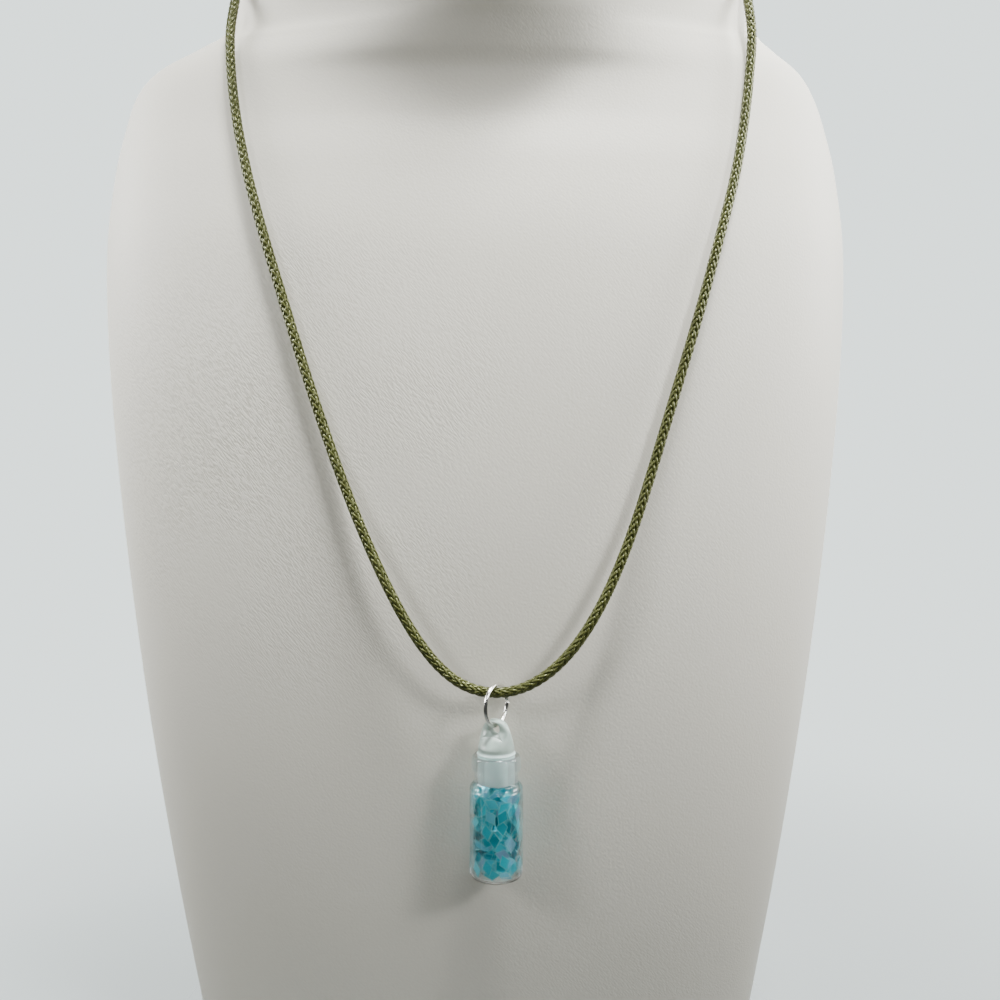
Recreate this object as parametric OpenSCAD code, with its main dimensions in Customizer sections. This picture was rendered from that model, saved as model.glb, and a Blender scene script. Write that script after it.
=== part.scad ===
// A small stoppered glass bottle of glitter flakes on a waxed cord, hung on a leatherette neck bust.
// Millimetres, +Z up. The origin is the middle of the bust's flat base, and the chest faces -Y.

/* [Neck bust] */
// Height from the base to the top of the neck
bust_h = 255; // [230:1:280]
// Width across the shoulders at their widest
bust_w = 155; // [140:1:170]
// Depth of the chest in front of the middle plane, at its fullest
chest_d = 40.2; // [36:0.1:42]
// Depth of the back behind the middle plane, at its fullest
back_d = 38; // [32:0.5:44]

/* [Cord and clasp] */
// Thickness of the braided cord
cord_d = 2; // [1.5:0.1:2.2]
// Thickness of the barrel clasp behind the neck
clasp_d = 4; // [3:0.1:4.4]

/* [Jump ring] */
// Outer diameter of the ring
ring_d = 8.4; // [8:0.1:11]
// Thickness of the ring's wire
ring_wire = 0.8; // [0.6:0.05:1]
// Angle between the ring's plane and the picture plane
ring_turn = 59; // [45:1:75]
// Angle of the cut where the ring opens
ring_cut = 3; // [1:0.5:6]

/* [Stopper] */
// Height of the stopper above the bottle's lip
stopper_h = 6.7; // [5.8:0.1:8]
// Diameter of the round body under the eye
stopper_d = 6.7; // [6:0.1:7]
// Diameter of the flange that sits on the lip
flange_d = 7.3; // [7.3:0.1:8.4]
// Thickness of the flange
flange_h = 0.4; // [0.4:0.1:1]
// Length of the plug inside the bottle's neck
plug_l = 5.6; // [4:0.1:6]
// Wall of the hollow plug
plug_wall = 0.9; // [0.6:0.1:1.4]
// Thickness of the flat eye at the top
eye_t = 2; // [1.6:0.1:2.4]
// Diameter of the hole through the eye
eye_bore = 2.2; // [2:0.1:2.8]
// Thickness left above the hole
eye_bridge = 0.65; // [0.5:0.05:0.9]

/* [Bottle] */
// Outer diameter of the bottle's body
bottle_d = 10; // [9:0.1:10.6]
// Height of the bottle without its stopper
bottle_h = 23.5; // [21:0.5:30]
// Thickness of the glass wall
glass_t = 0.7; // [0.5:0.05:1]
// Thickness of the glass floor
floor_t = 1; // [0.7:0.1:2]
// Bore of the neck
neck_bore = 7; // [6.4:0.1:7.2]
// Thickness of the glass at the neck
neck_t = 0.6; // [0.4:0.05:0.9]
// Outer diameter of the rolled lip
lip_d = 9.2; // [8.8:0.1:10]
// Height of the rolled lip
lip_h = 3.2; // [2:0.1:4]
// Height of the waist between the shoulder and the lip
waist_h = 1.9; // [1:0.1:3]
// Height of the sloping shoulder
shoulder_h = 1.3; // [1:0.1:2]
// Radius of the rounded heel
heel_r = 1.4; // [1:0.1:2]

/* [Glitter flakes] */
// Length of a flake's long diagonal
flake_l = 3; // [2:0.1:3.4]
// Length of a flake's short diagonal
flake_w = 2; // [1.4:0.1:2.4]
// Thickness of a flake
flake_t = 0.13; // [0.1:0.01:0.2]
// Gap left between neighbouring flakes, and between flakes and glass
flake_gap = 0.2; // [0.15:0.01:0.4]

/* [Clearances] */
// Gap between the cord and the ring that hangs on it
cord_gap = 0.1; // [0.05:0.01:0.2]
// Gap between the ring's wire and the eye that hangs on it
eye_gap = 0.06; // [0.05:0.01:0.15]
// Gap all round the plug in the bottle's neck
plug_gap = 0.05; // [0.02:0.01:0.1]
// Gap between the stopper's flange and the lip
seat_gap = 0.05; // [0.02:0.01:0.2]

/* [Hidden] */
$fn = 64;

// Each row of the bust: its height as a share of bust_h, half width as a share of bust_w / 2,
// front as a share of chest_d, back as a share of back_d, squareness of the outline, how far its
// middle stands to the right, as a share of bust_w, and how far the middle of the throat comes
// forward of that outline, as a share of chest_d.
BUST_ROWS = [
    [0.000, 0.770, 0.810, 0.855, 2.30, 0.000, 0.000],
    [0.140, 0.845, 0.920, 0.934, 2.35, 0.000, 0.000],
    [0.280, 0.909, 0.980, 0.974, 2.40, 0.000, 0.000],
    [0.420, 0.960, 1.000, 1.000, 2.40, 0.000, 0.000],
    [0.550, 0.993, 0.965, 1.000, 2.40, 0.000, 0.000],
    [0.650, 1.000, 0.890, 0.987, 2.35, 0.000, 0.000],
    [0.715, 0.978, 0.790, 0.961, 2.30, 0.000, 0.000],
    [0.757, 0.947, 0.697, 0.934, 2.25, 0.000, 0.000],
    [0.785, 0.915, 0.637, 0.908, 2.20, 0.000, 0.040],
    [0.804, 0.868, 0.617, 0.882, 2.10, 0.004, 0.100],
    [0.820, 0.785, 0.612, 0.855, 2.05, 0.013, 0.145],
    [0.835, 0.720, 0.617, 0.829, 2.00, 0.021, 0.185],
    [0.867, 0.679, 0.637, 0.803, 2.00, 0.023, 0.235],
    [0.933, 0.635, 0.697, 0.789, 2.00, 0.023, 0.270],
    [1.000, 0.617, 0.759, 0.789, 2.00, 0.023, 0.260]
];
THROAT_POWER = 8;
BUST_STEPS = 3;
BUST_SIDES = 64;

// The cord's route from one end of the clasp, round the neck, down the chest and back, as points
// chosen on a bust with the width, chest, back and height that follow them.
ROUTE_POINTS = [
    [-3, 32.5, 238], [-9, 32.5, 238], [-23, 28, 237], [-36.5, 21.5, 235], [-46, 12.5, 232],
    [-50, 1.5, 228.5], [-48.5, -7, 223], [-48, -12, 217.5], [-48.5, -16.5, 210.5], [-47.5, -21, 202.5],
    [-46, -25, 192.5], [-43, -30, 180.5], [-39.5, -33.5, 169], [-35.5, -36, 156.5], [-31, -38.5, 142.5],
    [-26, -40, 127.5], [-20.5, -42.5, 113.5], [-14, -44.5, 99.5], [-8, -45, 90], [-2, -45, 84.5],
    [4.5, -45, 83],
    [11, -45, 84.5], [18, -45, 90], [24.5, -44, 100], [30, -41.5, 113], [34.5, -39.5, 127.5],
    [39, -37.5, 142], [43.5, -35, 156.5], [47, -32, 169], [50.5, -28, 180.5], [53, -23, 192.5],
    [54.5, -19, 202.5], [55.5, -16, 210.5], [55, -12, 217.5], [55.5, -7, 223], [57, 1.5, 228.5],
    [53, 12.5, 232], [43.5, 21.5, 235], [30, 28, 237], [16, 32.5, 238], [10, 32.5, 238]
];
ROUTE_BUST = [155, 40.2, 38, 255];
ROUTE = [for (p = ROUTE_POINTS)
    [p.x * bust_w / ROUTE_BUST[0],
     p.y * (p.y < 0 ? chest_d / ROUTE_BUST[1] : back_d / ROUTE_BUST[2]),
     p.z * bust_h / ROUTE_BUST[3]]];
LOW_POINT = 20;
CORD_STEPS = 3;
CORD_SIDES = 8;
CORD_MIDDLE = [4, 0, 160];

// The ring hangs on the cord's low point, and the stopper and bottle hang plumb under it.
hang = curve_point(ROUTE, LOW_POINT, 0);
ring_r = (ring_d - ring_wire) / 2;
ring_z = hang.z + cord_d / 2 + cord_gap + ring_wire / 2 - ring_r;
wire_z = ring_z - ring_r;
eye_turn = ring_turn - 90;
wire_rise = ring_r - sqrt(pow(ring_r, 2) - pow(eye_t / 2, 2));
eye_top = wire_z + ring_wire / 2 + wire_rise + eye_gap;
eye_z = eye_top - eye_bore / 2;
eye_foot = stopper_h / 4;
eye_neck = stopper_h / 2;
lip_z = eye_top + eye_bridge - stopper_h;
bottle_z = lip_z - seat_gap - bottle_h;

bore_r = neck_bore / 2;
inner_r = bottle_d / 2 - glass_t;
waist_z = bottle_h - lip_h - waist_h;
shoulder_z = waist_z - shoulder_h;
inner_fillet = heel_r / 2;

ARC_STEPS = 6;

// Points of an arc in the plane of a profile, from one angle to another
function arc(middle, r, from, to, steps = ARC_STEPS) =
    [for (i = [0:steps]) let (a = from + (to - from) * i / steps)
        [middle.x + r * cos(a), middle.y + r * sin(a)]];

function unit(v) = v / norm(v);

// The list with one more point mirrored past each of its ends
function extended(list) =
    let (last = len(list) - 1)
    concat([2 * list[0] - list[1]], list, [2 * list[last] - list[last - 1]]);

// Smooth curve through every row of a table
function through(a, b, c, d, t) =
    (2 * b + (c - a) * t + (2 * a - 5 * b + 4 * c - d) * t * t
        + (3 * b - a - 3 * c + d) * t * t * t) / 2;

// Smooth curve drawn towards every point of a route
function towards(a, b, c, d, t) =
    (pow(1 - t, 3) * a + (3 * pow(t, 3) - 6 * t * t + 4) * b
        + (-3 * pow(t, 3) + 3 * t * t + 3 * t + 1) * c + pow(t, 3) * d) / 6;

function curve_point(route, i, t) =
    let (e = extended(route), k = min(i, len(route) - 2), u = t + i - k)
    towards(e[k], e[k + 1], e[k + 2], e[k + 3], u);

// Closed skin over a list of rings that all have the same number of points
module loft(rings) {
    n = len(rings[0]);
    last = len(rings) - 1;
    sides = [for (k = [0:last - 1], i = [0:n - 1])
        let (a = k * n + i, b = a + n, c = (k + 1) * n + (i + 1) % n, d = k * n + (i + 1) % n)
        each [[a, b, c], [a, c, d]]];
    caps = [[for (i = [0:n - 1]) i], [for (i = [n - 1:-1:0]) last * n + i]];
    polyhedron([for (ring = rings) each ring], concat(sides, caps));
}

// One level outline of the bust, flatter than an ellipse where the squareness is over 2
function bust_ring(row) =
    [for (i = [0:BUST_SIDES - 1])
        let (a = 360 * i / BUST_SIDES, c = cos(a), s = sin(a), power = 2 / row[4])
        [row[5] * bust_w + row[1] * bust_w / 2 * sign(c) * pow(abs(c), power),
         (s < 0 ? (row[2] + row[6] * pow(-s, THROAT_POWER)) * chest_d : row[3] * back_d) * sign(s) * pow(abs(s), power),
         row[0] * bust_h]];

module neck_bust() {
    e = extended(BUST_ROWS);
    spans = len(BUST_ROWS) - 1;
    rows = concat(
        [for (i = [0:spans - 1], j = [0:BUST_STEPS - 1])
            through(e[i], e[i + 1], e[i + 2], e[i + 3], j / BUST_STEPS)],
        [BUST_ROWS[spans]]);
    color("ivory") loft([for (row = rows) bust_ring(row)]);
}

// Eight-sided ring of the cord at a point of its route
function cord_ring(point, along) =
    let (side = unit(cross(along, point - CORD_MIDDLE)), out = cross(along, side))
    [for (i = [0:CORD_SIDES - 1]) let (a = 360 * i / CORD_SIDES)
        point + cord_d / 2 * (cos(a) * side + sin(a) * out)];

module cord() {
    last = len(ROUTE) - 1;
    count = last * CORD_STEPS;
    points = [for (i = [0:count]) curve_point(ROUTE, floor(i / CORD_STEPS), (i % CORD_STEPS) / CORD_STEPS)];
    middle = [for (i = [1:count - 1]) cord_ring(points[i], unit(points[i + 1] - points[i - 1]))];
    rings = concat(
        [cord_ring(points[0], unit(ROUTE[1] - ROUTE[0]))],
        middle,
        [cord_ring(points[count], unit(ROUTE[last] - ROUTE[last - 1]))]);
    color("olive") loft(rings);
}

// Plain barrel between the two ends of the cord
module clasp() {
    ends = [ROUTE[0], ROUTE[len(ROUTE) - 1]];
    color("silver")
        translate(ends[0]) rotate([0, 90, 0])
            cylinder(d = clasp_d, h = ends[1].x - ends[0].x);
}

// Round wire bent into a ring, with a cut halfway up its far side
module jump_ring() {
    color("silver")
        translate([hang.x, hang.y, ring_z])
            rotate([0, 0, eye_turn]) rotate([0, 90, 0]) rotate([0, 0, 90 + ring_cut / 2])
                rotate_extrude(angle = 360 - ring_cut)
                    translate([ring_r, 0]) circle(d = ring_wire, $fn = 32);
}

// Round body that rises into a blunt dome
module stopper_dome() {
    r = stopper_d / 2;
    rise = stopper_h - eye_foot;
    rotate_extrude()
        polygon(concat(
            [[0, 0], [flange_d / 2, 0], [flange_d / 2, flange_h], [r, flange_h]],
            [for (a = [0:10:90]) [r * cos(a), eye_foot + rise * sin(a)]]));
}

// What is cut away on one side to leave the flat eye, sloping out to the round body below
module eye_side() {
    rotate([90, 0, 90])
        linear_extrude(stopper_d, center = true)
            polygon([[eye_t / 2, eye_neck], [stopper_d / 2, eye_foot], [stopper_d, eye_foot],
                     [stopper_d, stopper_h + 1], [eye_t / 2, stopper_h + 1]]);
}

// Hollow plug, open below, with a rounded end
module plug() {
    r = bore_r - plug_gap;
    round_r = plug_wall / 2;
    rotate_extrude()
        polygon(concat(
            [[0, 0], [0, -plug_wall], [r - plug_wall, -plug_wall]],
            [[r - plug_wall, round_r - plug_l]],
            arc([r - round_r, round_r - plug_l], round_r, 180, 360),
            [[r, 0]]));
}

module stopper() {
    color("whitesmoke", 0.6)
        translate([hang.x, hang.y, lip_z]) rotate([0, 0, eye_turn]) {
            difference() {
                stopper_dome();
                eye_side();
                mirror([0, 1, 0]) eye_side();
                translate([0, 0, eye_z - lip_z]) rotate([90, 0, 0])
                    cylinder(d = eye_bore, h = stopper_d, center = true);
            }
            plug();
        }
}

module bottle() {
    r = bottle_d / 2;
    waist_r = bore_r + neck_t;
    lip_r = lip_d / 2;
    edge = (lip_r - bore_r) / 3;
    color("aliceblue", 0.35)
        translate([hang.x, hang.y, bottle_z])
            rotate_extrude()
                polygon(concat(
                    [[0, 0]],
                    arc([r - heel_r, heel_r], heel_r, -90, 0),
                    arc([r - shoulder_h, shoulder_z], shoulder_h, 0, 60),
                    [[waist_r, waist_z], [waist_r, waist_z + waist_h - edge]],
                    arc([lip_r - edge, waist_z + waist_h + edge], edge, -60, 0),
                    arc([lip_r - edge, bottle_h - edge], edge, 0, 90),
                    [[bore_r + edge / 3, bottle_h], [bore_r, bottle_h - edge / 3]],
                    [[bore_r, waist_z - glass_t / 2], [inner_r, shoulder_z - glass_t / 2]],
                    arc([inner_r - inner_fillet, floor_t + inner_fillet], inner_fillet, 0, -90),
                    [[0, floor_t]]));
}

// Thin rhombus with its long diagonal along X
module flake() {
    linear_extrude(flake_t, center = true)
        polygon([[flake_l / 2, 0], [0, flake_w / 2], [-flake_l / 2, 0], [0, -flake_w / 2]]);
}

// Flakes that lie against the glass in staggered rows, each tipped a little, round a core of
// flat layers
module glitter() {
    tip = 9;
    scatter = 137.5;
    core_flakes = 4;
    layer_turn = 31;
    limit_r = inner_r - flake_gap;
    wall_r = sqrt(pow(limit_r, 2) - pow(flake_l / 2, 2)) - flake_l / 2 * sin(tip) - flake_t;
    around = floor(360 / (2 * atan(flake_l / 2 / wall_r) + flake_gap / wall_r * 180 / PI + tip / 2));
    low = floor_t + inner_fillet + flake_gap;
    high = shoulder_z - glass_t / 2;
    rows = floor((high - low - flake_w) / (flake_w / 2 + flake_gap));
    row_step = (high - low - flake_w) / rows;
    core_r = wall_r - flake_l / 2 * sin(tip) - 2 * flake_gap - flake_w / 2;
    core_high = bottle_h + seat_gap - plug_l - flake_gap;
    layers = floor((core_high - low) / (flake_l * sin(tip) + flake_t + flake_gap));
    layer_step = (core_high - low) / layers;
    color("darkturquoise")
        translate([hang.x, hang.y, bottle_z]) {
            for (row = [0:rows], i = [0:around - 1]) {
                k = row * around + i;
                rotate([0, 0, (i + (row % 2) / 2) * 360 / around])
                    translate([wall_r, 0, low + flake_w / 2 + row * row_step])
                        rotate(tip * [sin(k * scatter) / 3, cos(k * scatter), sin(k * scatter / 2)])
                            rotate([90, 0, 90]) flake();
            }
            for (layer = [0:layers - 1], i = [0:core_flakes - 1]) {
                k = layer * core_flakes + i;
                rotate([0, 0, i * 360 / core_flakes + layer * layer_turn])
                    translate([core_r, 0, low + (layer + 0.5) * layer_step])
                        rotate([tip * cos(k * scatter), tip * sin(k * scatter) / 2, 90]) flake();
            }
        }
}

neck_bust();
cord();
clasp();
jump_ring();
stopper();
bottle();
glitter();
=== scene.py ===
# %% [markdown]
# # A bottle of glitter on a braided cord
# The real thing is a glass vial the size of a fingertip. It hangs by a jump ring from an olive
# waxed cord, and the cord hangs round a cream leatherette bust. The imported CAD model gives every
# piece its place and size, and this file dresses it. It could be done by hand in the viewport,
# but a script makes each shape from a formula that can be read, changed and run again.

import math

import bpy
import numpy as np
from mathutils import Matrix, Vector


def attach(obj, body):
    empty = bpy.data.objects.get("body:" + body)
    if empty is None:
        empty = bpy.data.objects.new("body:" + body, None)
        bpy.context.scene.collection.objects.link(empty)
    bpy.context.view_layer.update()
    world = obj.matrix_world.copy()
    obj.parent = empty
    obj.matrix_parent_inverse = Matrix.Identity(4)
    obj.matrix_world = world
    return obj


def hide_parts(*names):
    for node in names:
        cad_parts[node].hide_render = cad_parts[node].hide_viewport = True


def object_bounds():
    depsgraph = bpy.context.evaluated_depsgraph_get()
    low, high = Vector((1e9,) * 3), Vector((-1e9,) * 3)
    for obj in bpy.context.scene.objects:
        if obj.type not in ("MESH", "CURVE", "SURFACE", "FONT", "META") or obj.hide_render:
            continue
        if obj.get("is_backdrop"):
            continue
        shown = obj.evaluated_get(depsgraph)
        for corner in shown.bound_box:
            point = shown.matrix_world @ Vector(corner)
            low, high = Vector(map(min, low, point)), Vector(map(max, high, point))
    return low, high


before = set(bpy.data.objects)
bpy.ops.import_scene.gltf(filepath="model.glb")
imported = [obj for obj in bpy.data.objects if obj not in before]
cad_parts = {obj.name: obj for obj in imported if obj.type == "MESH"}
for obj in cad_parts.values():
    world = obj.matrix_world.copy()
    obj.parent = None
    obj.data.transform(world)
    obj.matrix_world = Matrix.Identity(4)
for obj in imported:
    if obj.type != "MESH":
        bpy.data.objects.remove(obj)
cad_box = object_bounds()
print("CAD nodes:", sorted(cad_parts))

# %% [markdown]
# ## Camera
# The picture was taken from a little above the pendant, close to the bust, so near things look
# clearly larger than far ones. A camera can be placed by eye, but here its distance comes from
# sizes in the picture: 5 degrees of downward pitch and 281.5 mm to the bust's middle put the cord
# and both sides of the bust where they belong. The lens is what 1300 pixels of focal length make
# on a picture of 1000 pixels and a sensor 36 mm wide.

# %% Camera
PITCH, FOCAL_PIXELS, PICTURE_PIXELS, SENSOR_MM = 5, 1300, 1000, 36
camera = bpy.data.objects.new("camera", bpy.data.cameras.new("camera"))
camera.location = (0.0052, -0.2815, 0.140)
camera.rotation_euler = (math.radians(90 - PITCH), 0, 0)
camera.data.sensor_width = SENSOR_MM
camera.data.lens = SENSOR_MM * FOCAL_PIXELS / PICTURE_PIXELS
camera.data.clip_start = 0.01
bpy.context.scene.collection.objects.link(camera)
bpy.context.scene.camera = camera
print("lens", camera.data.lens, "mm")

# %% [markdown]
# ## Surfaces from arrays
# Every new piece is a grid of points: rows of rings that follow each other, or a profile carried
# along a path. Blender wants a flat list of points and a flat list of face corners. Making them
# as whole arrays is far quicker than adding faces one by one, and keeps the formula in sight.

# %% Faces of a grid
def ring_faces(rows, columns):
    """Quads between neighbouring rings: corner (i, j), its neighbour round the ring, and the
    same two on the next ring. Point (i, j) has the number i * columns + j."""
    i, j = np.meshgrid(np.arange(rows - 1), np.arange(columns), indexing="ij")
    on = (j + 1) % columns
    corners = [i * columns + j, i * columns + on, (i + 1) * columns + on, (i + 1) * columns + j]
    return np.stack(corners, axis=-1).reshape(-1, 4)


def end_faces(ring, pole, backwards):
    """Triangles from each edge of a ring to one pole."""
    on = np.roll(ring, -1)
    fan = [on, ring] if backwards else [ring, on]
    return np.stack([*fan, np.full(len(ring), pole)], axis=-1)


# %% Mesh from points and faces
def signed_volume(points, faces):
    """Sum of the volumes between the origin and each face, positive where faces point out."""
    total = 0.0
    for part in faces:
        first = points[part[:, 0]]
        for k in range(1, part.shape[1] - 1):
            spread = np.cross(points[part[:, k]], points[part[:, k + 1]])
            total += np.einsum("ij,ij->", first, spread) / 6
    return total


def new_piece(name, points, faces, smooth=True):
    """A mesh object from an array of points and a list of face arrays, one face a row. A closed
    shape that is inside out is turned round."""
    if signed_volume(points, faces) < 0:
        faces = [part[:, ::-1] for part in faces]
    corners = np.concatenate([part.ravel() for part in faces])
    sizes = np.concatenate([np.full(len(part), part.shape[1]) for part in faces])
    mesh = bpy.data.meshes.new(name)
    mesh.vertices.add(len(points))
    mesh.vertices.foreach_set("co", np.ascontiguousarray(points, dtype=np.float32).ravel())
    mesh.loops.add(len(corners))
    mesh.loops.foreach_set("vertex_index", corners.astype(np.int32))
    mesh.polygons.add(len(sizes))
    mesh.polygons.foreach_set("loop_start", (np.cumsum(sizes) - sizes).astype(np.int32))
    mesh.polygons.foreach_set("use_smooth", np.full(len(sizes), smooth))
    mesh.update(calc_edges=True)
    mesh.validate()
    piece = bpy.data.objects.new(name, mesh)
    bpy.context.scene.collection.objects.link(piece)
    print(f"{name}: {len(points)} points, {int((sizes - 2).sum())} triangles")
    return piece


# %% Closed piece from rings
def closed_rings(name, rings, first_pole, last_pole):
    """Rings of points joined by quads, and closed by a pole before the first ring and one after
    the last."""
    rows, columns = rings.shape[:2]
    points = np.vstack([rings.reshape(-1, 3), first_pole, last_pole])
    faces = [
        ring_faces(rows, columns),
        end_faces(np.arange(columns), rows * columns, True),
        end_faces(np.arange(columns) + (rows - 1) * columns, rows * columns + 1, False),
    ]
    return new_piece(name, points, faces)


# %% [markdown]
# ## Lines
# The cord, the ring and the turned profiles all start as a line. Two tools serve them all: one
# puts the points of a line an equal length apart, and one makes directions one unit long.

# %% Line tools
def unit(vectors):
    return vectors / np.linalg.norm(vectors, axis=-1, keepdims=True)


def evenly(points, count):
    """The same line with its points an equal length apart, and its length."""
    steps = np.linalg.norm(np.diff(points, axis=0), axis=1)
    run = np.concatenate([[0], np.cumsum(steps)])
    at = np.linspace(0, run[-1], count)
    return np.column_stack([np.interp(at, run, axis) for axis in points.T]), run[-1]


def arc(middle, radii, start, end, count=12):
    """Points of an ellipse's arc, from one angle in degrees to another."""
    a = np.radians(np.linspace(start, end, count))
    return np.column_stack([middle[0] + radii[0] * np.cos(a), middle[1] + radii[1] * np.sin(a)])


# %% [markdown]
# ## Shader expressions
# A material is a web of small nodes, and sums of nodes are hard to read as code. The class below
# wraps a node's output, so that `1 - 2 * mask` adds the Math nodes by itself. Every other node
# comes from one method, which takes its settings first and then what goes into its sockets.

# %% Shader expressions
class Wire:
    """The output of a node in a material."""

    def __init__(self, finish, socket):
        self.finish = finish
        self.socket = socket

    def output(self, name):
        """Another output of the same node."""
        return Wire(self.finish, self.socket.node.outputs[name])

    def math(self, operation, *values):
        """A Math node on some values; the wire itself is among them where it is wanted."""
        return self.finish.node("Math", {"operation": operation}, dict(enumerate(values)))

    def __add__(self, other):
        return self.math("ADD", self, other)

    def __rsub__(self, other):
        return self.math("SUBTRACT", other, self)

    def __mul__(self, other):
        return self.math("MULTIPLY", self, other)

    __radd__ = __add__
    __rmul__ = __mul__


class Finish:
    """A material with a Principled shader, and the way to add nodes to it."""

    def __init__(self, name, **constants):
        self.material = bpy.data.materials.new(name)
        self.material.use_nodes = True
        self.tree = self.material.node_tree
        self.shader = self.tree.nodes["Principled BSDF"]
        for socket, value in constants.items():
            self.shader.inputs[socket.replace("_", " ")].default_value = value

    def node(self, kind, settings=None, inputs=None, output=0):
        """A new node of any kind: its settings first, then what goes into its sockets."""
        new = self.tree.nodes.new("ShaderNode" + kind)
        for name, value in (settings or {}).items():
            if name == "stops":
                self.set_stops(new.color_ramp, value)
            else:
                setattr(new, name, value)
        for name, value in (inputs or {}).items():
            self.feed(new.inputs[name], value)
        return Wire(self, new.outputs[output])

    def set_stops(self, ramp, stops):
        while len(ramp.elements) < len(stops):
            ramp.elements.new(0.5)
        for element, (place, colour) in zip(ramp.elements, stops):
            element.position = place
            element.color = colour

    def feed(self, socket, value):
        """Links a wire to a socket, or sets a plain value on it."""
        if isinstance(value, Wire):
            self.tree.links.new(value.socket, socket)
        else:
            socket.default_value = value

    def place(self, turn=(0, 0, 0), scale=(1, 1, 1)):
        """The point's place on its object, turned and then scaled."""
        point = self.node("TexCoord", output="Object")
        angles = [math.radians(angle) for angle in turn]
        rotated = self.node("Mapping", {}, {"Vector": point, "Rotation": angles})
        return self.node("VectorMath", {"operation": "MULTIPLY"}, {0: rotated, 1: scale})

    def mix(self, share, first, second):
        """A colour between two, by a share from 0 to 1."""
        return self.node("Mix", {"data_type": "RGBA"}, {"Factor": share, 6: first, 7: second}, 2)

    def colour(self, value):
        self.feed(self.shader.inputs["Base Color"], value)

    def bump(self, height, distance, strength):
        """Feeds a height from 0 to 1, as deep as distance in metres, to the shader's normal."""
        lifted = self.node("Bump", {}, {"Height": height, "Distance": distance, "Strength": strength})
        self.feed(self.shader.inputs["Normal"], lifted)

    def on(self, piece):
        piece.data.materials.clear()
        piece.data.materials.append(self.material)


# %% [markdown]
# ## The cord's line
# The cord leaves the clasp behind the neck, goes round, runs down the chest to the ring and
# comes back. The points are those of the CAD model, in metres. A curve object could be drawn
# through them, but the braid needs its own frame at each point, so the line is worked out here:
# each stretch leans towards four neighbouring points, which is a B-spline.

# %% The cord's line
ROUTE = np.array([
    [-3, 32.5, 238], [-9, 32.5, 238], [-23, 28, 237], [-36.5, 21.5, 235], [-46, 12.5, 232],
    [-50, 1.5, 228.5], [-48.5, -7, 223], [-48, -12, 217.5], [-48.5, -16.5, 210.5], [-47.5, -21, 202.5],
    [-46, -25, 192.5], [-43, -30, 180.5], [-39.5, -33.5, 169], [-35.5, -36, 156.5], [-31, -38.5, 142.5],
    [-26, -40, 127.5], [-20.5, -42.5, 113.5], [-14, -44.5, 99.5], [-8, -45, 90], [-2, -45, 84.5],
    [4.5, -45, 83],
    [11, -45, 84.5], [18, -45, 90], [24.5, -44, 100], [30, -41.5, 113], [34.5, -39.5, 127.5],
    [39, -37.5, 142], [43.5, -35, 156.5], [47, -32, 169], [50.5, -28, 180.5], [53, -23, 192.5],
    [54.5, -19, 202.5], [55.5, -16, 210.5], [55, -12, 217.5], [55.5, -7, 223], [57, 1.5, 228.5],
    [53, 12.5, 232], [43.5, 21.5, 235], [30, 28, 237], [16, 32.5, 238], [10, 32.5, 238],
]) / 1000
CORD_D = 0.002
CORD_MIDDLE = np.array([0.004, 0, 0.160])


def drawn_towards(points, steps=24):
    """Uniform cubic B-spline. Between each four neighbours a, b, c, d, and with t from 0 to 1,
    it is ((1 - t)^3 a + (3 t^3 - 6 t^2 + 4) b + (-3 t^3 + 3 t^2 + 3 t + 1) c + t^3 d) / 6.
    One more point is mirrored past each end, so that the line starts and ends on its points."""
    more = np.vstack([2 * points[0] - points[1], points, 2 * points[-1] - points[-2]])
    t = np.linspace(0, 1, steps, endpoint=False)[None, :, None]
    a, b, c, d = (more[k:len(more) - 3 + k, None] for k in range(4))
    near = (1 - t) ** 3 * a + (3 * t ** 3 - 6 * t ** 2 + 4) * b
    far = (-3 * t ** 3 + 3 * t ** 2 + 3 * t + 1) * c + t ** 3 * d
    return np.vstack([((near + far) / 6).reshape(-1, 3), points[-1]])


CORD_ROWS = 2060
cord_line, cord_length = evenly(drawn_towards(ROUTE), CORD_ROWS)
cord_along = unit(np.gradient(cord_line, axis=0))
cord_side = unit(np.cross(cord_along, cord_line - CORD_MIDDLE))
cord_out = np.cross(cord_along, cord_side)
print(f"cord {cord_length * 1000:.1f} mm from clasp to clasp")

# %% [markdown]
# ## The braid
# The cord is a round braid of sixteen flat yarns, eight winding each way, and each yarn passes
# over two others and under two. On a braiding machine a yarn is always on the outside at the same
# places round the cord, so its height depends only on the angle: four waves in one turn, up for
# one family where the other is down. That gives the small stacked Vs of such a cord. A bump
# pattern on a plain tube would look the same from afar but not at its edge or close up, so the
# yarns are real ones, each a six-sided flat tube.

# %% Yarns of the braid
BRAID_PITCH = 0.0124
YARN_WIDTH = 0.00056
YARN_THICKNESS = 0.00030
YARN_MIDDLE = 0.00068
YARN_LIFT = 0.00017
YARNS_EACH_WAY, YARN_SIDES, WAVES, STEEP = 8, 6, 4, 1.6


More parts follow.
